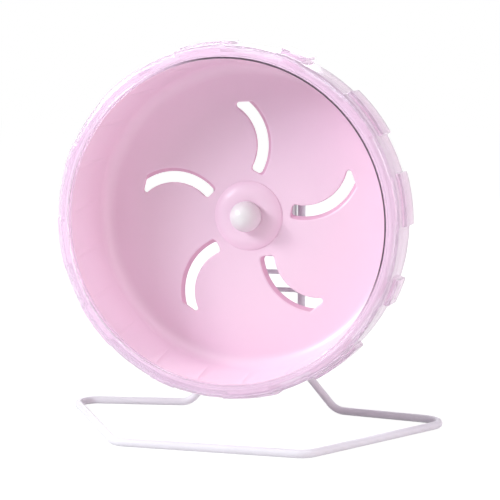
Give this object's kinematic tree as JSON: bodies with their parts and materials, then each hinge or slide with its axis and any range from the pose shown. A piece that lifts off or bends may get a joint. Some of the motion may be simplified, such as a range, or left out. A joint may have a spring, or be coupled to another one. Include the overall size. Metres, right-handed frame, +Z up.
{
  "type": "hamster wheel",
  "caption": "Open-fronted running wheel for a small pet: pink bowl with a clear front ring, turning on ball bearings clamped to a white bent-wire stand.",
  "frame": {"origin": "floor level, under the middle of the whole object in plan", "axes": "+X to the right seen from the open front, +Y from the open front of the wheel to the back of the stand, +Z up"},
  "size_m": [0.2372, 0.1284, 0.2327],
  "materials": {
    "pink_plastic": "smooth moulded, satin gloss",
    "clear_plastic": "clear moulded, polished",
    "white_plastic": "white moulded, satin",
    "coated_wire": "white powder coat",
    "steel": "bright zinc plated or ground",
    "cage_brass": "turned"
  },
  "bodies": {
    "stand": {"axle_bolt": "steel", "axle_carrier": "white_plastic", "carrier_clamp": "white_plastic", "clamp_screw_lower_left": "steel", "clamp_screw_lower_right": "steel", "clamp_screw_upper_left": "steel", "clamp_screw_upper_right": "steel", "cross_rung_lower": "coated_wire", "cross_rung_middle": "coated_wire", "cross_rung_upper": "coated_wire", "front_bearing_inner_race": "steel", "front_washer": "steel", "inner_spacer": "steel", "lock_nut": "steel", "rear_bearing_inner_race": "steel", "rear_spacer": "steel", "wire_stand": "coated_wire"},
    "wheel": {"bearing_sleeve": "white_plastic", "front_bearing_front_shield": "steel", "front_bearing_outer_race": "steel", "front_bearing_rear_shield": "steel", "front_ring": "clear_plastic", "hub_cap": "white_plastic", "rear_bearing_front_shield": "steel", "rear_bearing_outer_race": "steel", "rear_bearing_rear_shield": "steel", "wheel_bowl": "pink_plastic"},
    "front_cage": {"front_bearing_ball_1": "steel", "front_bearing_ball_2": "steel", "front_bearing_ball_3": "steel", "front_bearing_ball_4": "steel", "front_bearing_ball_5": "steel", "front_bearing_ball_6": "steel", "front_bearing_ball_7": "steel", "front_bearing_cage": "cage_brass"},
    "rear_cage": {"rear_bearing_ball_1": "steel", "rear_bearing_ball_2": "steel", "rear_bearing_ball_3": "steel", "rear_bearing_ball_4": "steel", "rear_bearing_ball_5": "steel", "rear_bearing_ball_6": "steel", "rear_bearing_ball_7": "steel", "rear_bearing_cage": "cage_brass"}
  },
  "joints": [
    {"name": "wheel_spin", "type": "hinge", "parent": "stand", "child": "wheel", "pos_m": [0, 0.0228, 0.1272], "axis": [0, 1, 0], "continuous": true},
    {"name": "front_cage_roll", "type": "hinge", "parent": "stand", "child": "front_cage", "pos_m": [0, 0.0268, 0.1272], "axis": [0, 1, 0], "continuous": true},
    {"name": "rear_cage_roll", "type": "hinge", "parent": "stand", "child": "rear_cage", "pos_m": [0, 0.0428, 0.1272], "axis": [0, 1, 0], "continuous": true}
  ],
  "couplings": [
    {"joint": "front_cage_roll", "follows": "wheel_spin", "ratio": 0.64},
    {"joint": "rear_cage_roll", "follows": "wheel_spin", "ratio": 0.64}
  ]
}
